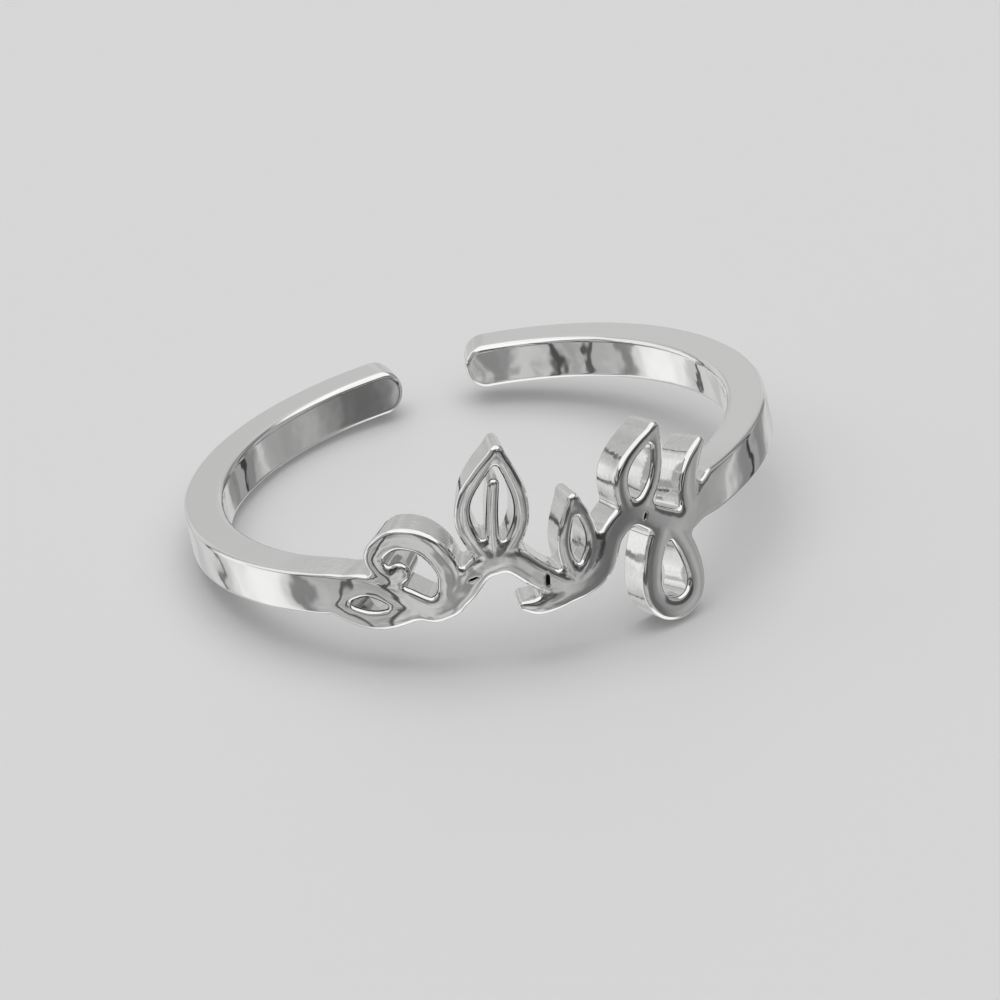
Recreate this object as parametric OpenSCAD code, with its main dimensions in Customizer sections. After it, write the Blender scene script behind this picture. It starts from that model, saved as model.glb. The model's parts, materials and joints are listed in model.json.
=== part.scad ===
// Open finger ring of flat silver wire with a leafy openwork front, lying on its side.
// Origin at the centre of the finger hole, -Y towards the front, +Z up as the ring rests.

/* [Band] */
// Radius of the finger hole
hole_r = 8.65; // [8:0.05:10.5]
// Thickness of the wall, outwards from the finger
wall = 1.35; // [1.1:0.05:1.8]
// Height of the band along the finger
band_h = 1.55; // [1.4:0.05:1.9]
// How far the left free end stops short of the back's middle, in degrees
gap_left = 6.5; // [5:0.1:15]
// How far the right free end stops short of the back's middle, in degrees
gap_right = 8.3; // [5:0.1:15]

/* [Openwork] */
// Usual width of a stroke
stroke_w = 0.95; // [0.8:0.01:1.1]
// Height of the tall leaf's tip over the band's middle line
tall_tip = 4.35; // [3.6:0.05:5]
// Height of the small leaf's tip over the band's middle line
small_tip = 1.95; // [1.6:0.05:2.6]
// Height of the right leaf's tip over the band's middle line
right_tip = 3.15; // [2.6:0.05:3.8]
// Hang of the drop below the band's lower edge
drop_hang = 2.8; // [2.2:0.05:3.4]

/* [Rest] */
// Side that the ring's lean lifts most, in degrees from the front towards +X
lean_side = 37.9; // [30:0.1:46]

/* [Hidden] */

out_r = hole_r + wall;
// The band's arms start this far round from the middle of the openwork, in degrees.
arm_side = 43;
// The openwork's faces lie this far inside the band's own.
flush = 0.02;
// The drop hangs this far round from the front's middle, along the outer face.
drop_at = 4.9;
drop_side = deg(drop_at);
// The ring rests on the drop's inner edge and on the band's outer edge across from it.
lean = atan(drop_hang / ((hole_r + flush) * cos(drop_side - lean_side) + out_r));
// Height of the drop's foot over the band's middle line
low = -band_h / 2 - drop_hang;
// The flat drawing's distance from the axis
far = out_r + wall;
// Pieces that each stretch between two rows of a stroke is drawn in
steps = 3;
// Radius in the corners where strokes meet
fillet = 0.12;

// Strokes of the openwork, drawn on the unrolled outer face with the origin in its middle.
// Columns: along the face, up from the band's middle line, width as a share of stroke_w.
stem_rows = [
    [-8.3, 0, 1.35], [-7.5, 0.02, 1.58], [-6.7, 0.2, 1.12], [-5.7, 0.27, 0.87], [-4.6, -0.22, 0.95],
    [-3.6, -0.75, 1], [-2.6, -0.3, 1], [-1.7, 0.48, 1], [-0.7, 0.5, 1], [0.2, -0.38, 1],
    [1.2, -1.02, 1], [2.2, -0.7, 1], [2.9, 0.3, 1], [3.8, 0.7, 1], [4.7, 0.12, 1],
    [5.6, -0.42, 1.05], [6.6, -0.15, 1.28], [7.5, -0.02, 1.58], [8.3, 0, 1.35]
];
split_rows = [[-7.5, -0.25, 0.8], [-6.4, -0.82, 0.76], [-5.4, -0.98, 0.76], [-4.3, -0.7, 0.84]];
curl_rows = [
    [-3, -0.6, 0.95], [-2.85, 0.6, 0.93], [-3.45, 1.6, 0.9], [-4.5, 1.88, 0.84], [-5.3, 1.3, 0.76],
    [-4.95, 0.62, 0.76], [-4.5, 0.7, 0.84]
];
drop_left_rows = [
    [drop_at - 0.05, -0.1, 0.84], [drop_at - 0.7, -1.2, 0.84], [drop_at - 0.95, low + 1.35, 0.84],
    [drop_at - 0.6, low + 0.63, 0.84], [drop_at, low + 0.4, 0.84]
];
drop_right_rows = [
    [drop_at, low + 0.4, 0.84], [drop_at + 0.58, low + 0.6, 0.84], [drop_at + 0.88, low + 1.3, 0.84],
    [drop_at + 0.72, -1.2, 0.84], [drop_at + 0.25, -0.15, 0.84]
];
bud_rows = [[1.3, -1.05, 0.9], [0.6, -1.2, 0.9], [-0.1, -1.32, 0.68], [-0.6, -1.2, 0.4]];
spur_rows = [[6.1, -0.2, 0.95], [6.3, 0.7, 0.9], [6.7, 1.35, 0.74], [7.3, 1.8, 0.44]];
// Leaves. Columns: foot along, foot up, tip along, tip up, half width, sideways bow, width share.
tall_leaf = [-1.25, 0.5, -0.4, tall_tip, 1, 0.12, 0.67];
small_leaf = [1.35, -0.8, 1.8, small_tip, 0.5, -0.1, 0.58];
right_leaf = [3.7, 0.6, 5.35, right_tip, 0.68, 0.15, 0.65];
// Half width of the tall leaf's tip
tip_r = 0.7 * tall_leaf[6] * stroke_w / 2;

function deg(along) = along / out_r * 180 / PI;

function at(row) = [row.x, row.y];

function unit(v) = v / norm(v);

function left_of(v) = [-v.y, v.x];

// One point of the smooth curve that passes from row b to row c, with a and d as its neighbours.
function between(a, b, c, d, s) =
    (2 * b + (c - a) * s + (2 * a - 5 * b + 4 * c - d) * s ^ 2 + (3 * b - a - 3 * c + d) * s ^ 3) / 2;

function smooth(rows) =
    let (n = len(rows), all = [2 * rows[0] - rows[1], each rows, 2 * rows[n - 1] - rows[n - 2]])
    [for (i = [1:n - 1], k = [0:steps - 1]) between(all[i - 1], all[i], all[i + 1], all[i + 2], k / steps),
     rows[n - 1]];

// One side of a leaf: it leaves the straight line from foot to tip by a half sine and thins out.
function leaf_side(leaf, side) =
    let (foot = [leaf[0], leaf[1]], run = [leaf[2], leaf[3]] - foot, out = left_of(unit(run)))
    [for (s = [0:0.2:1])
        let (p = foot + run * s + out * (side * leaf[4] + leaf[5]) * sin(180 * s ^ 0.9))
        [p.x, p.y, leaf[6] * (1 - 0.3 * s)]];

function leaf_vein(leaf) =
    let (foot = [leaf[0], leaf[1]], run = [leaf[2], leaf[3]] - foot, out = left_of(unit(run)))
    [for (s = [0:0.24:0.72])
        let (p = foot + run * s + out * leaf[5] * sin(180 * s ^ 0.9))
        [p.x, p.y, leaf[6] * (0.9 - 0.45 * s)]];

// The two edge points of a stroke where its centre is c, its direction t and its half width half.
function edges(c, t, half) = [c + left_of(t) * half, c - left_of(t) * half];

// A stroke's sections from end to end, with the round ends as three narrowing sections each.
function sections(rows) =
    let (c = smooth(rows), n = len(c), first = unit(at(c[1] - c[0])), last = unit(at(c[n - 1] - c[n - 2])),
         h0 = c[0][2] * stroke_w / 2, h1 = c[n - 1][2] * stroke_w / 2)
    [for (a = [20, 45, 70]) edges(at(c[0]) - first * h0 * cos(a), first, h0 * sin(a)),
     for (i = [0:n - 1])
        edges(at(c[i]), unit(at(c[min(i + 1, n - 1)] - c[max(i - 1, 0)])), c[i][2] * stroke_w / 2),
     for (a = [70, 45, 20]) edges(at(c[n - 1]) + last * h1 * cos(a), last, h1 * sin(a))];

// A stroke in the flat drawing, as it looks from the axis.
module stroke(rows) {
    s = sections(rows);
    outline = [for (e = s) e[0], for (i = [len(s) - 1:-1:0]) s[i][1]];
    polygon([for (p = outline) [far * tan(deg(p.x)), p.y]]);
}

module leaf(row) {
    stroke(leaf_side(row, 1));
    stroke(leaf_side(row, -1));
}

module vine() {
    for (rows = [stem_rows, split_rows, curl_rows, drop_left_rows, drop_right_rows, bud_rows, spur_rows])
        stroke(rows);
    for (row = [tall_leaf, small_leaf, right_leaf]) leaf(row);
    stroke(leaf_vein(tall_leaf));
}

// The vine is drawn flat, one wall clear of the ring, and every cut runs from there towards the axis.
// The curves may pass their end points by a hair, so the whole is brought to its exact height.
module openwork() {
    near = hole_r * cos(arm_side) - wall;
    tall = tall_tip + tip_r - low;
    resize([0, 0, tall]) intersection() {
        rotate_extrude($fn = 120) translate([hole_r + flush, low - 1]) square([wall - 2 * flush, tall + 2]);
        rotate([90, 0, 0]) translate([0, 0, near])
            linear_extrude(far - near, scale = [far / near, 1]) scale([near / far, 1])
                offset(r = -fillet, $fn = 8) offset(delta = fillet) vine();
    }
}

// What a free end loses to its rounding and to the opening, on the side that turning by +Z leads to.
module end_cutter() {
    r = band_h / 2;
    arc = [for (a = [-90:15:90]) [r * cos(a) - r, r * sin(a)]];
    rotate([90, 0, 0]) translate([0, 0, -out_r - 1]) linear_extrude(wall + 2)
        polygon([[-r, -r - 1], each arc, [-r, r + 1], [2, r + 1], [2, -r - 1]]);
}

// The right arm, which stops that many degrees short of the back's middle.
module arm(gap) {
    difference() {
        rotate_extrude(start = arm_side - 90, angle = 180 - arm_side - gap, $fn = 180)
            translate([hole_r, -band_h / 2]) square([wall, band_h]);
        rotate([0, 0, -gap]) mirror([1, 0, 0]) end_cutter();
    }
}

module ring() {
    color("silver") rotate(a = lean, v = [-cos(lean_side), -sin(lean_side), 0]) {
        arm(gap_right);
        mirror([1, 0, 0]) arm(gap_left);
        openwork();
    }
}

ring();
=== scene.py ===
# An open silver finger ring with a leafy openwork front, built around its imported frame.
import json
import math

import bpy
import numpy as np
from mathutils import Matrix, Vector, geometry


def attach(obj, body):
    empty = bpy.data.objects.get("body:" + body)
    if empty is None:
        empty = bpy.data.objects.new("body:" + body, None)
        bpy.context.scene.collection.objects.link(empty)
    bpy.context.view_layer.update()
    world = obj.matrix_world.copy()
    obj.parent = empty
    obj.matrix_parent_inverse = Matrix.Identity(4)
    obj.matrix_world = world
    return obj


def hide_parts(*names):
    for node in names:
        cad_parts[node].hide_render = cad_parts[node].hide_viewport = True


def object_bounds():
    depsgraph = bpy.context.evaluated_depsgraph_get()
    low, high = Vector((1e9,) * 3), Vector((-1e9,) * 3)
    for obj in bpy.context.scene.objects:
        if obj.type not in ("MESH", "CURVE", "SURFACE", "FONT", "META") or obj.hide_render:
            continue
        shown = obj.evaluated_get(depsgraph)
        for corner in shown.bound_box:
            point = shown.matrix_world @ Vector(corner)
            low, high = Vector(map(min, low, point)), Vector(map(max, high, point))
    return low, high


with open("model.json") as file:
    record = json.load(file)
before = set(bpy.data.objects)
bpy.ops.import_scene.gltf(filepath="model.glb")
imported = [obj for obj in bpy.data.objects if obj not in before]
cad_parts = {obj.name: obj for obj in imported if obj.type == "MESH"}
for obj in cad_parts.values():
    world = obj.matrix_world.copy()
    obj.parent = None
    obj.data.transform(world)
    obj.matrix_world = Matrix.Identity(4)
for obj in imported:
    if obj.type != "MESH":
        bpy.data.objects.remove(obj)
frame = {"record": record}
cad_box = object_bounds()
scene = bpy.context.scene
scene.view_settings.view_transform = "Standard"

# Camera
# A long lens a little left of the openwork and well above it, tilted so that the band climbs to the right.
# Angles are in degrees, distances in metres and the lens in millimetres.
camera_azimuth = -9.2
camera_elevation = 28.3
camera_roll = -5.9
camera_distance = 0.423
camera_lens = 451.8
# Where the middle of the finger hole lies from the middle of the picture, to the right and up.
hole_offset = Vector((-0.00074, 0.00114))


def toward(azimuth, elevation):
    """Unit vector to an azimuth, from the front, -Y, towards +X, and an elevation, both in degrees."""
    turn, rise = math.radians(azimuth), math.radians(elevation)
    return Vector((math.sin(turn) * math.cos(rise), -math.cos(turn) * math.cos(rise), math.sin(rise)))


to_camera = toward(camera_azimuth, camera_elevation)
level_right = toward(camera_azimuth + 90, 0)
level_up = to_camera.cross(level_right)
roll = math.radians(camera_roll)
camera_right = level_right * math.cos(roll) + level_up * math.sin(roll)
camera_up = to_camera.cross(camera_right)
camera = bpy.data.objects.new("camera", bpy.data.cameras.new("camera"))
scene.collection.objects.link(camera)
camera.data.lens = camera_lens
camera.data.clip_start = 0.01
camera.matrix_world = Matrix.Translation(
    to_camera * camera_distance - camera_right * hole_offset.x - camera_up * hole_offset.y
) @ Matrix((camera_right, camera_up, to_camera)).transposed().to_4x4()
scene.camera = camera

# Ring, as a flat drawing
# One casting of sterling silver: a rectangular band, open at the back with rounded ends, and a vine sawn
# through the front. The drawing is the outer face unrolled, in millimetres: along from the front's middle,
# up from the band's middle line.
hole = frame["record"]["mounts"][0]
hole_r = hole["dims"]["r_mm"]
band_h = hole["dims"]["length_mm"]
# The silver's thickness, the openwork's stroke width, and where the two arms take over from the openwork.
wall = 1.35
out_r = hole_r + wall
stroke_w = 0.95
arm_starts = 7.5
# How far each free end stops short of the back's middle.
gap_left, gap_right = math.radians(6.5), math.radians(8.3)
# The drop hangs here, and its foot is the drawing's lowest place. Nothing reaches the top.
drop_at = 4.9
low = -band_h / 2 - 2.8
top = 5
# Rows of a stroke: along, up, width as a share of stroke_w.
strokes = {
    "stem": [
        (-8.3, 0, 1.35), (-7.5, 0.02, 1.58), (-6.7, 0.2, 1.12), (-5.7, 0.27, 0.87), (-4.6, -0.22, 0.95),
        (-3.6, -0.75, 1), (-2.6, -0.3, 1), (-1.7, 0.48, 1), (-0.7, 0.5, 1), (0.2, -0.38, 1),
        (1.2, -1.02, 1), (2.2, -0.7, 1), (2.9, 0.3, 1), (3.8, 0.7, 1), (4.7, 0.12, 1),
        (5.6, -0.42, 1.05), (6.6, -0.15, 1.28), (7.5, -0.02, 1.58), (8.3, 0, 1.35),
    ],
    "split": [(-7.5, -0.25, 0.8), (-6.4, -0.82, 0.76), (-5.4, -0.98, 0.76), (-4.3, -0.7, 0.84)],
    "curl": [
        (-3, -0.6, 0.95), (-2.85, 0.6, 0.93), (-3.45, 1.6, 0.9), (-4.5, 1.88, 0.84), (-5.3, 1.3, 0.76),
        (-4.95, 0.62, 0.76), (-4.5, 0.7, 0.84),
    ],
    "drop": [
        (drop_at - 0.05, -0.1, 0.84), (drop_at - 0.7, -1.2, 0.84), (drop_at - 0.95, low + 1.35, 0.84),
        (drop_at - 0.64, low + 0.66, 0.84), (drop_at, low + 0.4, 0.84), (drop_at + 0.62, low + 0.64, 0.84),
        (drop_at + 0.9, low + 1.3, 0.84), (drop_at + 0.72, -1.2, 0.84), (drop_at + 0.25, -0.15, 0.84),
    ],
    "bud": [(1.3, -1.05, 0.9), (0.6, -1.2, 0.9), (-0.1, -1.32, 0.68), (-0.6, -1.2, 0.4)],
    "spur": [(6.1, -0.2, 0.95), (6.3, 0.7, 0.9), (6.7, 1.35, 0.74), (7.3, 1.8, 0.44)],
}
# Leaves: foot, tip, half width, sideways bow, width share.
leaves = {
    "tall leaf": ((-1.25, 0.5), (-0.4, 4.35), 1, 0.12, 0.67),
    "small leaf": ((1.35, -0.8), (1.8, 1.95), 0.5, -0.1, 0.58),
    "right leaf": ((3.7, 0.6), (5.35, 3.15), 0.68, 0.15, 0.65),
}


def leaf_line(leaf, side, until, width_at):
    """Rows from foot to tip, width * width_at(share) wide. They leave the straight line between them by
    (side * half width + bow) * sin(180 * share^0.9)."""
    foot, tip, half, bow, width = leaf
    foot, run = np.array(foot), np.array(tip) - foot
    share = np.linspace(0, until, 6)[:, None]
    out = np.array((-run[1], run[0])) / np.hypot(*run)
    line = foot + run * share + out * (side * half + bow) * np.sin(math.pi * share**0.9)
    return np.hstack([line, width * width_at(share)])


for name, leaf in leaves.items():
    for side in (1, -1):
        strokes[f"{name} {side}"] = leaf_line(leaf, side, 1, lambda share: 1 - 0.3 * share)
strokes["vein"] = leaf_line(leaves["tall leaf"], 0, 0.72, lambda share: 0.9 - 0.45 * share)


def smooth_rows(rows, steps=6):
    """Catmull-Rom curve through the rows: in each span half of 2b + (c - a)s + (2a - 5b + 4c - d)s^2
    + (3b - a - 3c + d)s^3, where the end rows are mirrored outwards to give the first a and the last d."""
    rows = np.array(rows, float)
    rows = np.vstack([2 * rows[0] - rows[1], rows, 2 * rows[-1] - rows[-2]])
    a, b, c, d = (rows[i : len(rows) - 3 + i, None] for i in range(4))
    s = np.linspace(0, 1, steps, endpoint=False)[None, :, None]
    curve = (2 * b + (c - a) * s + (2 * a - 5 * b + 4 * c - d) * s**2 + (3 * b - a - 3 * c + d) * s**3) / 2
    return np.vstack([curve.reshape(-1, 3), rows[-2]])


def span_distance(points, curve):
    """Distance from each point to a stroke's edge, below 0 inside: the least over the stroke's spans of the
    distance to the nearest place on the span, less the half width there."""
    a, b = curve[:-1], curve[1:]
    run = b[:, :2] - a[:, :2]
    share = ((points[:, None] - a[:, :2]) * run).sum(2) / (run**2).sum(1)
    share = np.clip(share, 0, 1)
    nearest = a[:, :2] + share[..., None] * run
    half = a[:, 2] + share * (b[:, 2] - a[:, 2])
    return (np.linalg.norm(points[:, None] - nearest, axis=2) - half).min(1)


curves = {name: smooth_rows(rows) * (1, 1, stroke_w / 2) for name, rows in strokes.items()}
# The drop turns back to where it starts, so its two halves, which part at its foot, count as strokes.
halfway = len(curves["drop"]) // 2
curves["drop right"] = curves["drop"][halfway:]
curves["drop"] = curves["drop"][: halfway + 1]
left_end = (math.pi - gap_left) * out_r - band_h / 2
right_end = (math.pi - gap_right) * out_r - band_h / 2
arms = [
    np.array([(start, 0, band_h / 2), (end, 0, band_h / 2)])
    for start, end in ((-left_end, -arm_starts), (arm_starts, right_end))
]
# The openwork's strokes overlap the arms no further than this along them.
overlap = 1.5
# Fillet that the casting leaves where strokes meet.
fillet = 0.16


def drawing(points):
    """Distance to the edge of the whole drawing, below 0 inside. The openwork's strokes join by the smooth
    least of two distances p and q: min(p, q) - h^2 * fillet / 4 with h = max(0, 1 - |p - q| / fillet)."""
    edge = np.minimum(span_distance(points, arms[0]), span_distance(points, arms[1]))
    near = np.abs(points[:, 0]) < arm_starts + overlap
    front = np.full(near.sum(), np.inf)
    # Round the drop's foot, where its halves meet as one line, h is 0. From 1.5 mm above it, h is whole.
    filleted = np.clip((points[near, 1] - low) * 2 - 2, 0, 1)
    for curve in curves.values():
        other = span_distance(points[near], curve)
        blend = np.maximum(0, 1 - np.abs(front - other) / fillet) * filleted
        front = np.minimum(front, other) - blend**2 * fillet / 4
    edge[near] = np.minimum(edge[near], front)
    return edge


def slope(points, step=0.002):
    """Direction in which the distance to the edge grows, by central differences. Its length is 1, and falls
    to 0 within a step of a stroke's middle line."""
    along, up = np.array((step, 0)), np.array((0, step))
    return np.column_stack([
        drawing(points + along) - drawing(points - along),
        drawing(points + up) - drawing(points - up),
    ]) / (2 * step)


# Ring, its edge lines
# The saw's path: closed lines round the drawing and round each of its holes, silver on the left. They are
# followed through a grid that reaches all round the ring, and a little below and above the drawing.
cell = 0.06
grid_along = np.arange(-(math.pi * out_r), math.pi * out_r, cell)
grid_up = np.arange(low - 0.5, top + 0.2, cell)
grid = np.stack(np.meshgrid(grid_along, grid_up, indexing="ij"), axis=2)
level = drawing(grid.reshape(-1, 2)).reshape(grid.shape[:2])
inside = level < 0
columns, rows_up = level.shape


def edge_ids(i, j, vertical):
    """Number of the grid edge that starts at column i and row j and runs along, or up if vertical is 1."""
    return (i * rows_up + j) * 2 + vertical


i, j = np.meshgrid(np.arange(columns - 1), np.arange(rows_up - 1), indexing="ij")
corners = [inside[:-1, :-1], inside[1:, :-1], inside[1:, 1:], inside[:-1, 1:]]
sides = [edge_ids(i, j, 0), edge_ids(i + 1, j, 1), edge_ids(i, j + 1, 0), edge_ids(i, j, 1)]
starts, ends = [], []
# Going round a cell, a line enters where silver begins and leaves at the next side where it ends.
for side in range(4):
    open_here = corners[side] & ~corners[(side + 1) % 4]
    for back in (1, 2, 3):
        other = (side - back) % 4
        enters = open_here & ~corners[other] & corners[(other + 1) % 4]
        starts.append(sides[side][enters])
        ends.append(sides[other][enters])
        open_here &= ~enters
starts, ends = np.concatenate(starts), np.concatenate(ends)
crossed = np.unique(starts)
follows = np.empty(len(crossed), int)
follows[np.searchsorted(crossed, starts)] = np.searchsorted(crossed, ends)

# Each point learns the least number on its line, then how many steps it is from the line's last point. A
# jump doubles every time, so this many doublings pass the longest line.
doublings = 14
label, jump = np.arange(len(crossed)), follows.copy()
for _ in range(doublings):
    label = np.minimum(label, label[jump])
    jump = jump[jump]
last = follows == label
jump = np.where(last, np.arange(len(crossed)), follows)
steps_left = np.where(last, 0, 1)
for _ in range(doublings):
    steps_left = steps_left + steps_left[jump]
    jump = jump[jump]

# A line crosses a grid edge where the distance, taken as even along it, is 0.
base, vertical = crossed // 2, crossed % 2
near_corner = (base // rows_up, base % rows_up)
far_corner = (near_corner[0] + (1 - vertical), near_corner[1] + vertical)
crossed_at = level[near_corner] / (level[near_corner] - level[far_corner])
crossing = grid[near_corner] + (grid[far_corner] - grid[near_corner]) * crossed_at[:, None]
spacing = 0.07


def resampled(line):
    """The closed line cut anew at even steps of about the spacing."""
    closed = np.vstack([line, line[:1]])
    length = np.concatenate([[0], np.cumsum(np.linalg.norm(np.diff(closed, axis=0), axis=1))])
    at = np.linspace(0, length[-1], round(length[-1] / spacing), endpoint=False)
    return np.column_stack([np.interp(at, length, closed[:, 0]), np.interp(at, length, closed[:, 1])])


def settled(line):
    """Points moved along the slope by their distance until they lie on the edge, and evened between their
    neighbours, a quarter from each side, so that the line has no kinks finer than the spacing."""
    for _ in range(3):
        line = (np.roll(line, 1, axis=0) + 2 * line + np.roll(line, -1, axis=0)) / 4
        line = line - slope(line) * drawing(line)[:, None]
    return line


edge_lines = []
for line_label in np.unique(label):
    members = np.flatnonzero(label == line_label)
    members = members[np.argsort(-steps_left[members])]
    edge_lines.append(settled(resampled(crossing[members])))
edge = np.vstack(edge_lines)
edge_count = len(edge)
line_counts = [len(line) for line in edge_lines]
line_starts = np.cumsum([0] + line_counts[:-1])
# The number of each edge point, of the next one on its line, and of the one before it.
here = np.arange(edge_count)
after = np.concatenate([
    start + np.roll(np.arange(count), -1) for start, count in zip(line_starts, line_counts)])
before = np.empty_like(after)
before[after] = here
# Outwards is square to the chord between a point's neighbours. It is evened along the line, a quarter from
# each side, so that the rims turn gently.
chord = edge[after] - edge[before]
outward = np.column_stack([chord[:, 1], -chord[:, 0]])
for _ in range(2):
    outward = (outward[before] + 2 * outward + outward[after]) / 4
outward = outward / np.linalg.norm(outward, axis=1)[:, None]


# Ring, its skin
# Polished cast silver: smooth faces, sawn sides that point at the ring's axis, and edges rounded by buffing.
# The wheel rounds the openwork's strokes more than the band's outer edges, and the band's inner edges are
# rounded for the finger.
def band_share(points):
    """0 on the openwork, rising to 1 within the band's first two millimetres."""
    return np.clip((np.abs(points[:, 0]) - arm_starts) / 2, 0, 1)


def finger_radius(points):
    """Radius of the inner edges: 0.13 mm on the openwork and 0.22 mm on the band."""
    return 0.13 + 0.09 * band_share(points)


# Half the silver's width at each edge point, as far as this probe tells, sets the radius of the outer edges.
probe = 0.25
half_width = np.minimum((probe - drawing(edge - outward * probe)) / 2, probe)
edge_r = 0.62 * half_width
finger_r = finger_radius(edge)
turns = np.radians(np.linspace(0, 90, 7))[:, None]
side_share = np.linspace(0, 1, 5)[1:-1, None]
# Rows from the outer face over the rim, down the side and round to the inner face: how far inside the edge
# line, how deep below the outer face, and how far the skin's normal has turned from the outer face's.
row_in = np.vstack([
    edge_r * (1 - np.sin(turns)),
    np.zeros((len(side_share), edge_count)),
    finger_r * (1 - np.sin(turns[::-1])),
])
row_deep = np.vstack([
    edge_r * (1 - np.cos(turns)),
    edge_r + side_share * (wall - edge_r - finger_r),
    wall - finger_r * (1 - np.cos(turns[::-1])),
])
row_tilt = np.vstack([turns, np.full_like(side_share, math.pi / 2), math.pi - turns[::-1]])
row_tilt = row_tilt.repeat(edge_count, axis=1)
rows_count = len(row_tilt)


def odd_crossings(points, starts, ends):
    """True where a ray from the point along the drawing crosses the lines an odd number of times: a line is
    crossed where it passes the point's height and its place there lies further along."""
    x, y = points[:, :1], points[:, 1:]
    passes = (starts[:, 1] > y) != (ends[:, 1] > y)
    share = (y - starts[:, 1]) / np.where(ends[:, 1] == starts[:, 1], 1, ends[:, 1] - starts[:, 1])
    return (passes & (starts[:, 0] + share * (ends[:, 0] - starts[:, 0]) > x)).sum(1) % 2 == 1


# Nicks that the casting left in the front: middle, length, width and depth, and turn from along in degrees.
nicks = [
    ((-2.05, 0.15), 0.32, 0.08, 0.08, 15),
    ((0.35, -0.5), 0.38, 0.09, 0.09, 80),
    ((4.2, 0.45), 0.24, 0.08, 0.09, 60),
]


def nick_place(points, nick):
    """Flat points seen from a nick: along and across it, as shares of half its length and half its width."""
    middle, length, width, _, turn = nick
    along = np.array((math.cos(math.radians(turn)), math.sin(math.radians(turn))))
    across = np.array((-along[1], along[0]))
    return (points - middle) @ np.column_stack([along * 2 / length, across * 2 / width])


def nick_sink(points):
    """How far the face has sunk into nicks: each is depth * exp(-along^4 - across^2) in its own shares. The
    exponent stops at -50, where nothing is left."""
    sunk = np.zeros(len(points))
    for nick in nicks:
        seen = nick_place(points, nick)
        sunk += nick[3] * np.exp(-np.minimum(seen[:, 0] ** 4 + seen[:, 1] ** 2, 50))
    return sunk


def plain_net(step, start, end):
    """Points of a net of even triangles that reaches from start to end along the drawing, with rows
    step * sqrt(3) / 2 apart and every second one half a step along. They keep clear of both faces' rims."""
    along = np.arange(start, end, step)
    up = np.arange(low, top, step * math.sqrt(3) / 2)
    u, v = np.meshgrid(along, up, indexing="ij")
    u = u + (np.arange(len(up)) % 2) * step / 2
    points = np.column_stack([u.ravel(), v.ravel()])
    rims = np.maximum(edge_r.max(), finger_radius(points))
    return points[drawing(points) < -rims - step / 3]


# Steps of the plain nets on the band and on the openwork.
band_step, openwork_step = 0.16, 0.08


def face_net():
    """Points and triangles of a face: the rim's inner line with points of plain nets inside it, finer on the
    openwork and finest in the nicks. A triangle between three points of the line may lie in a hole, so those
    are tested."""
    rim = edge - outward * edge_r[:, None]
    net = np.vstack([
        plain_net(band_step, -math.pi * out_r, -arm_starts),
        plain_net(openwork_step, -arm_starts, arm_starts),
        plain_net(band_step, arm_starts, math.pi * out_r),
    ])
    # A nick has its own net, given in its shares, and the plain net stops a little outside it.
    nick_net = np.meshgrid(np.linspace(-1.4, 1.4, 15), np.linspace(-2, 2, 15))
    nick_net = np.stack(nick_net, axis=2).reshape(-1, 2)
    for nick in nicks:
        clear = (np.abs(nick_place(net, nick)) > (1.8, 3)).any(1)
        # The shares that a unit step along and up covers, turned back into flat places.
        flat = np.linalg.inv(nick_place(np.eye(2) + nick[0], nick))
        net = np.vstack([net[clear], nick_net @ flat + nick[0]])
    points = np.vstack([rim, net[drawing(net) < -edge_r.max() - 0.02]])
    rim_edges = np.column_stack([here, after]).tolist()
    flat_places = [Vector(point) for point in points.tolist()]
    triangles = np.array(geometry.delaunay_2d_cdt(flat_places, rim_edges, [], 1, 1e-6)[2])
    doubtful = np.flatnonzero((triangles < edge_count).all(1))
    kept = np.ones(len(triangles), bool)
    kept[doubtful] = odd_crossings(points[triangles[doubtful]].mean(1), rim, rim[after])
    return points, triangles[kept]


def on_ring(points, deep):
    """Places of flat points on the level ring, and the direction outwards there: the length along turns
    about the hole as along / out_r from the front, at the radius out_r - deep, and up stays up."""
    turn = points[:, 0] / out_r
    out = np.column_stack([np.sin(turn), -np.cos(turn), np.zeros(len(turn))])
    return out * (out_r - deep)[:, None] + points[:, 1:] * (0, 0, 1), out


face_points, face_triangles = face_net()
net = face_points[edge_count:]
zeros = np.zeros(len(net))
# The skin's points: every row of every edge point, then the outer face's net, then the inner face's.
flat_points = np.vstack([(edge - outward * row_in[..., None]).reshape(-1, 2), net, net])
deep = np.concatenate([row_deep.ravel(), zeros, zeros + wall])
tilt = np.concatenate([row_tilt.ravel(), zeros, zeros + math.pi])
away = np.vstack([np.tile(outward, (rows_count, 1)), slope(net, 0.09), np.zeros_like(net)])
on_band = band_share(flat_points)
# 1 on the outer face, falling to 0 over the rim.
facing = np.maximum(np.cos(tilt), 0)
# The outer face is crowned, most on the openwork: it sinks towards the edge line by
# crown * (1 - d / crown_width)^2, where d is the distance from the line.
crown, crown_width = 0.055, 0.38
from_edge = np.concatenate([row_in.ravel(), -drawing(net), zeros])
crowned = np.maximum(1 - from_edge / crown_width, 0) * (1 - 0.65 * on_band) * facing
sink = nick_sink(flat_points) * facing
place, out = on_ring(flat_points, deep + crown * crowned**2 + sink)
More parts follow.
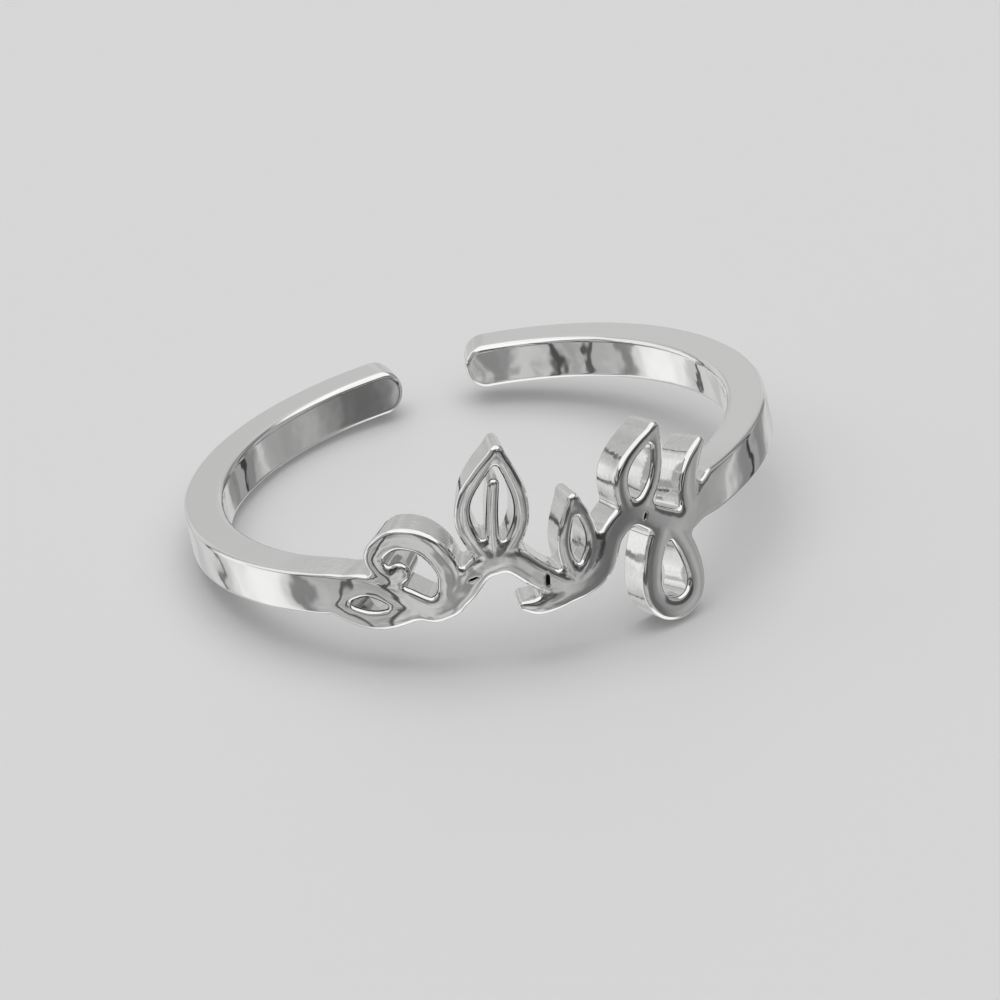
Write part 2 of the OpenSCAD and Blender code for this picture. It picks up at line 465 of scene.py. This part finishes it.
# The normal turns sideways with the rows and with the crown's slope, and then with each nick's slope, taken
# over a hair's breadth to both sides.
around_ring = np.column_stack([-out[:, 1], out[:, 0], np.zeros(len(out))])
sideways = around_ring * away[:, :1] + (0, 0, 1) * away[:, 1:]
normal = out * np.cos(tilt)[:, None] + sideways * (np.sin(tilt) + 2 * crown / crown_width * crowned)[:, None]
hair = 0.002
for direction, flat_step in ((around_ring, (hair, 0)), (np.array([(0, 0, 1.0)]), (0, hair))):
    steep = (nick_sink(flat_points + flat_step) - nick_sink(flat_points - flat_step)) / (2 * hair) * facing
    normal += direction * steep[:, None]

# Hand buffing leaves the skin gently uneven: waves of these lengths and heights, in millimetres, run three
# ways. The openwork's front is more uneven than the rest, and the band's upper and lower sides are even.
wave_ways = np.array([(1, 0.4, 0.7), (-0.5, 1, 0.9), (0.3, -0.8, 1.3)])
wave_length = np.array([2.3, 1.7, 1.2])
wave_height = np.array([0.006, 0.0045, 0.003])
wave = 2 * math.pi / wave_length[:, None] * wave_ways / np.linalg.norm(wave_ways, axis=1)[:, None]
phase = place @ wave.T
rise = (np.sin(phase) * wave_height).sum(1)
climb = (np.cos(phase) * wave_height) @ wave
climb = climb - normal * (climb * normal).sum(1)[:, None]
uneven = 1 + 0.9 * facing * (1 - on_band) - 0.9 * np.sin(tilt) ** 2 * on_band
place = place + normal * (rise * uneven)[:, None]
normal = normal - climb * uneven[:, None]
normal = normal / np.linalg.norm(normal, axis=1)[:, None]

# Each row is joined to the next all round, and the two faces' triangles to the first row and the last.
row, spot = np.meshgrid(np.arange(rows_count - 1), here, indexing="ij")
row_start, next_start = row * edge_count, (row + 1) * edge_count
side_quads = np.stack(
    [row_start + spot, next_start + spot, next_start + after[spot], row_start + after[spot]], axis=2)
on_rim = face_triangles < edge_count
in_net = face_triangles - edge_count + rows_count * edge_count
outer_face = np.where(on_rim, face_triangles, in_net)
inner_face = np.where(on_rim, face_triangles + (rows_count - 1) * edge_count, in_net + len(net))[:, ::-1]
# As it lies, the ring leans on the drop's foot, so the level skin is turned with the hole's axis.
lean = np.array(Vector((0, 0, 1)).rotation_difference(Vector(hole["axis"])).to_matrix())
place, normal = place @ lean.T * 0.001, normal @ lean.T
skin = bpy.data.meshes.new("silver_ring")
faces = side_quads.reshape(-1, 4).tolist() + outer_face.tolist() + inner_face.tolist()
skin.from_pydata(place.tolist(), [], faces)
skin.shade_smooth()
skin.normals_split_custom_set_from_vertices(normal.tolist())


def mark(name, kind, field, values):
    """Gives every point of the skin its values under a name that the material reads."""
    skin.attributes.new(name, kind, "POINT").data.foreach_set(field, values)


# The openwork's sides are left as sawn, and the band's are polished.
mark("sawn", "FLOAT", "value", np.sin(tilt) ** 12 * (1 - on_band))
# The inside, where the wheel hardly reaches, is rippled most, and the band's upper and lower sides least.
inside_more = 0.4 * np.maximum(-np.cos(tilt), 0)
sides_less = 0.5 * np.sin(tilt) ** 2 * on_band
mark("rippled", "FLOAT", "value", 0.6 + inside_more - sides_less)
# Where the face sinks into nicks, from 0 to 1; the material paints shade there.
deepest = max(nick[3] for nick in nicks)
mark("nicked", "FLOAT", "value", np.minimum(2.5 * sink / deepest, 1))
mark("unrolled", "FLOAT_VECTOR", "vector", np.column_stack([flat_points, deep]).ravel())
ring = bpy.data.objects.new("silver_ring", skin)
scene.collection.objects.link(ring)


# Ring, its silver
# Sterling silver, cast, filed and buffed by hand: a near mirror whose ripples break reflections into
# patches. The buffing wheel leaves hairlines along the band, and where it can't reach, the sawn sides stay
# duller and greyer.
def linear(hex_colour):
    """A colour from its sRGB hex value: each channel c becomes ((c + 0.055) / 1.055)^2.4, or c / 12.92 when
    dark."""
    channels = [int(hex_colour[i : i + 2], 16) / 255 for i in (1, 3, 5)]
    return [((c + 0.055) / 1.055) ** 2.4 if c > 0.04 else c / 12.92 for c in channels] + [1]


def add(tree, kind, inputs=(), **settings):
    """One node with its settings. Its inputs are given by name, or listed in the node's own order. Each is a
    value, or an output or a node that gets linked to it: a node by the first output that is in use."""
    made = tree.nodes.new(kind)
    for name, value in settings.items():
        setattr(made, name, value)
    named = inputs if isinstance(inputs, dict) else dict(enumerate(inputs))
    for name, value in named.items():
        if isinstance(value, bpy.types.Node):
            value = next(output for output in value.outputs if output.enabled)
        if isinstance(value, bpy.types.NodeSocket):
            tree.links.new(value, made.inputs[name])
        else:
            made.inputs[name].default_value = value
    return made


# Sizes in millimetres: ripples this far apart, the casting's grain, which the saw leaves on the sides, and
# hairlines that run along the band. The polish varies over cloud_size.
ripple_apart, grain_size, cloud_size = 0.714, 0.125, 2
hairline_length, hairline_apart = 1, 0.04
silver = bpy.data.materials.new("buffed_sterling_silver")
silver.use_nodes = True
tree = silver.node_tree
tree.nodes.clear()
object_place = add(tree, "ShaderNodeTexCoord").outputs["Object"]
unrolled_place = add(tree, "ShaderNodeAttribute", attribute_name="unrolled").outputs["Vector"]
sawn_here = add(tree, "ShaderNodeAttribute", attribute_name="sawn").outputs["Fac"]
rippled_here = add(tree, "ShaderNodeAttribute", attribute_name="rippled").outputs["Fac"]
nicked_here = add(tree, "ShaderNodeAttribute", attribute_name="nicked").outputs["Fac"]
ripples = add(tree, "ShaderNodeTexNoise", {
    "Vector": object_place, "Scale": 1000 / ripple_apart, "Detail": 1.0})
grain = add(tree, "ShaderNodeTexNoise", {"Vector": object_place, "Scale": 1000 / grain_size, "Detail": 2.0})
stretched = add(tree, "ShaderNodeMapping", {
    "Vector": unrolled_place, "Scale": (1 / hairline_length, 1 / hairline_apart, 1 / hairline_apart)})
hairlines = add(tree, "ShaderNodeTexNoise", {"Vector": stretched, "Scale": 1.0, "Detail": 1.0})
# How far each rises, in metres.
rippled = add(tree, "ShaderNodeBump", {
    "Height": ripples, "Strength": rippled_here, "Distance": 0.000018})
scratched = add(tree, "ShaderNodeBump", {
    "Height": hairlines, "Distance": 0.0000003, "Normal": rippled})
grained = add(tree, "ShaderNodeBump", {
    "Height": grain, "Strength": sawn_here, "Distance": 0.0000024, "Normal": scratched})
# The polish is uneven on the faces, and on the sawn sides the grain shows as dull specks.
clouding = add(tree, "ShaderNodeTexNoise", {
    "Vector": object_place, "Scale": 1000 / cloud_size, "Detail": 3.0})
polish = add(tree, "ShaderNodeMapRange", (clouding, 0.35, 0.65, 0.03, 0.09))
specks = add(tree, "ShaderNodeMapRange", (grain, 0.4, 0.7, 0.05, 0.12))
dullness = add(tree, "ShaderNodeMix", {"Factor": sawn_here, "A": polish, "B": specks})
greyed = add(tree, "ShaderNodeMath", (sawn_here, grain), operation="MULTIPLY")
tone = add(tree, "ShaderNodeMix", {
    "Factor": greyed, "A": linear("#f2f2f1"), "B": linear("#dededc")}, data_type="RGBA")
# Painted shade: the colour turns near black where the face sinks into the nicks, standing in for the shade
# inside them.
painted_nick_shade = add(tree, "ShaderNodeMix", {
    "Factor": nicked_here, "A": tone, "B": linear("#2b2a28")}, data_type="RGBA")
dulled = add(tree, "ShaderNodeMix", {"Factor": nicked_here, "A": dullness, "B": 0.6})
surface = add(tree, "ShaderNodeBsdfPrincipled", {
    "Base Color": painted_nick_shade, "Metallic": 1.0, "Roughness": dulled, "Normal": grained})
add(tree, "ShaderNodeOutputMaterial", {"Surface": surface})
skin.materials.append(silver)
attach(ring, "root")
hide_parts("ring")

# Floor
# A plain pale sheet right under the ring, which bends up into a wall around it. The silver mirrors the room
# instead of the sheet, as it would on a mirror. Lengths are in metres.
floor_z = cad_box[0][2]
floor_half = 9
floor_mesh = bpy.data.meshes.new("floor")
floor_mesh.from_pydata(
    [(x * floor_half, y * floor_half, floor_z) for x, y in ((-1, -1), (1, -1), (1, 1), (-1, 1))],
    [], [(0, 1, 2, 3)])
floor = bpy.data.objects.new("floor", floor_mesh)
floor.visible_glossy = False
scene.collection.objects.link(floor)
pale = bpy.data.materials.new("pale_board")
pale.use_nodes = True
board = pale.node_tree.nodes["Principled BSDF"]
board.inputs["Base Color"].default_value = linear("#d5d5d5")
board.inputs["Roughness"].default_value = 0.5
floor_mesh.materials.append(pale)
# The sheet's bend is a quarter circle carried round the ring, so that a low camera doesn't look over the
# sheet's border. It only closes the view: it takes no light from the ring or the floor.
bend_from, bend_r = 0.7, 0.3
bend_turn = np.radians(np.linspace(0, 90, 19))[:, None]
round_turn = np.radians(np.arange(0, 360, 5))[None, :]
bend_reach = bend_from + bend_r * np.sin(bend_turn)
bend_z = floor_z + bend_r * (1 - np.cos(bend_turn)) + np.zeros_like(round_turn)
bend_points = np.stack([bend_reach * np.cos(round_turn), bend_reach * np.sin(round_turn), bend_z], axis=2)
bend_ids = np.arange(bend_z.size).reshape(bend_z.shape)
next_ids = np.roll(bend_ids, -1, axis=1)
bend_quads = np.stack([bend_ids[:-1], next_ids[:-1], next_ids[1:], bend_ids[1:]], axis=2)
bend_mesh = bpy.data.meshes.new("backdrop")
bend_mesh.from_pydata(bend_points.reshape(-1, 3).tolist(), [], bend_quads.reshape(-1, 4).tolist())
bend_mesh.shade_smooth()
bend_mesh.materials.append(pale)
backdrop = bpy.data.objects.new("backdrop", bend_mesh)
backdrop.visible_glossy = False
backdrop.visible_diffuse = False
backdrop.visible_shadow = False
scene.collection.objects.link(backdrop)

# Light
# A pale studio, brighter at the back, with a soft ceiling, a window to the left and a few dark things
# standing in it. Below the horizon it shows mirrored. Azimuth runs from the front, -Y, towards +X.
world = bpy.data.worlds.new("studio")
world.use_nodes = True
scene.world = world
tree = world.node_tree
tree.nodes.clear()
around = add(tree, "ShaderNodeTexCoord").outputs["Generated"]
sky = add(tree, "ShaderNodeSeparateXYZ", {"Vector": around}).outputs
forward = add(tree, "ShaderNodeMath", (sky["Y"], -1.0), operation="MULTIPLY")
azimuth = add(tree, "ShaderNodeMath", (sky["X"], forward), operation="ARCTAN2")
height = add(tree, "ShaderNodeMath", (sky["Z"],), operation="ABSOLUTE")
# While a map range's first input goes from the second to the third, it passes from the fourth to the last.
soft_pass = {"interpolation_type": "SMOOTHSTEP"}
studio = add(tree, "ShaderNodeMapRange", (sky["Y"], -1.0, 1.0, 0.39, 0.6), **soft_pass)
# Pale and dark things stand about in front.
things = add(tree, "ShaderNodeTexNoise", {"Vector": around, "Scale": 6.0, "Detail": 1.0})
thing_greys = add(tree, "ShaderNodeMapRange", (things, 0.36, 0.62, 0.68, 1.45), **soft_pass)
in_front = add(tree, "ShaderNodeMapRange", (sky["Y"], -0.35, -0.7, 0.0, 1.0), **soft_pass)
patches = add(tree, "ShaderNodeMix", {"Factor": in_front, "A": 1.0, "B": thing_greys})
studio = add(tree, "ShaderNodeMath", (studio, patches), operation="MULTIPLY")
# What stands round the ring: azimuth and half width in degrees, share of it that its soft border takes, and
# grey.
for at, half, soft, grey in (
    (90, 45, 0.4, 0.38), (-112, 19, 0.3, 0.87), (-139, 1.5, 0.4, 0.12), (-86, 3.5, 0.6, 0.24),
    (-65, 1.7, 0.5, 0.1), (-48, 2.2, 0.5, 0.08), (40, 18, 0.8, 0.15), (112, 4, 0.5, 0.24),
    (117.5, 1.8, 0.5, 0.05), (102, 2, 0.8, 0.55), (133, 7, 0.5, 0.27),
):
    outer, inner = math.radians(half * (1 + soft)), math.radians(half * (1 - soft))
    off_middle = add(tree, "ShaderNodeMath", (azimuth, math.radians(at)), operation="SUBTRACT")
    aside = add(tree, "ShaderNodeMath", (off_middle,), operation="ABSOLUTE")
    covered = add(tree, "ShaderNodeMapRange", (aside, outer, inner, 0.0, 1.0), **soft_pass)
    studio = add(tree, "ShaderNodeMix", {"Factor": covered, "A": studio, "B": grey})
# Its walls are unevenly lit, and darker along the floor except at the back.
clouds = add(tree, "ShaderNodeTexNoise", {"Vector": around, "Scale": 3.0, "Detail": 2.0})
wall_light = add(tree, "ShaderNodeMapRange", (clouds, 0.3, 0.7, 0.87, 1.13), **soft_pass)
studio = add(tree, "ShaderNodeMath", (studio, wall_light), operation="MULTIPLY")
skirting_top, skirting_full = math.sin(math.radians(8)), math.sin(math.radians(3))
low_down = add(tree, "ShaderNodeMapRange", (height, skirting_top, skirting_full, 0.0, 0.75), **soft_pass)
off_back = add(tree, "ShaderNodeMapRange", (sky["Y"], 0.5, 0.0, 0.0, 1.0), **soft_pass)
skirting = add(tree, "ShaderNodeMath", (low_down, off_back), operation="MULTIPLY")
skirting_light = add(tree, "ShaderNodeMath", (1.0, skirting), operation="SUBTRACT")
studio = add(tree, "ShaderNodeMath", (studio, skirting_light), operation="MULTIPLY")
# The front wall has a round dark opening, which the strokes' upper edges mirror.
opening_rim, opening_full = math.cos(math.radians(24)), math.cos(math.radians(16))
opening = add(tree, "ShaderNodeVectorMath", (around, toward(-9, 24)), operation="DOT_PRODUCT")
opened = add(tree, "ShaderNodeMapRange", (opening, opening_rim, opening_full, 0.0, 1.0), **soft_pass)
studio = add(tree, "ShaderNodeMix", {"Factor": opened, "A": studio, "B": 0.05})
# The ceiling hangs a little to the front, and its mirror image is smaller.
ceiling_lean = math.radians(10)
risen = add(tree, "ShaderNodeMath", (height, math.cos(ceiling_lean)), operation="MULTIPLY")
to_back = add(tree, "ShaderNodeMath", (sky["Y"], math.sin(ceiling_lean)), operation="MULTIPLY")
overhead = add(tree, "ShaderNodeMath", (risen, to_back), operation="SUBTRACT")
mirrored = add(tree, "ShaderNodeMapRange", (sky["Z"], 0.1, -0.1, 0.0, 0.2), **soft_pass)
overhead = add(tree, "ShaderNodeMath", (overhead, mirrored), operation="SUBTRACT")
ceiling = add(tree, "ShaderNodeMapRange", (overhead, 0.6, 0.72, 0.0, 1.0), **soft_pass)
ceiling_greys = add(tree, "ShaderNodeMapRange", (clouds, 0.3, 0.7, 0.94, 1.14), **soft_pass)
studio = add(tree, "ShaderNodeMix", {"Factor": ceiling, "A": studio, "B": ceiling_greys})
room = add(tree, "ShaderNodeBackground", {"Color": studio})
add(tree, "ShaderNodeOutputWorld", {"Surface": room})

# A square lamp overhead faces the ring. It lights the floor, and the silver mirrors only the ceiling behind.
lamp = bpy.data.lights.new("overhead", "AREA")
lamp.size = 0.5
lamp.energy = 0.8
lamp_distance = 0.5
to_lamp = toward(170, 80)
lamp_turn = to_lamp.to_track_quat("Z", "Y").to_matrix().to_4x4()
holder = bpy.data.objects.new("overhead", lamp)
holder.matrix_world = Matrix.Translation(to_lamp * lamp_distance) @ lamp_turn
holder.visible_glossy = False
scene.collection.objects.link(holder)
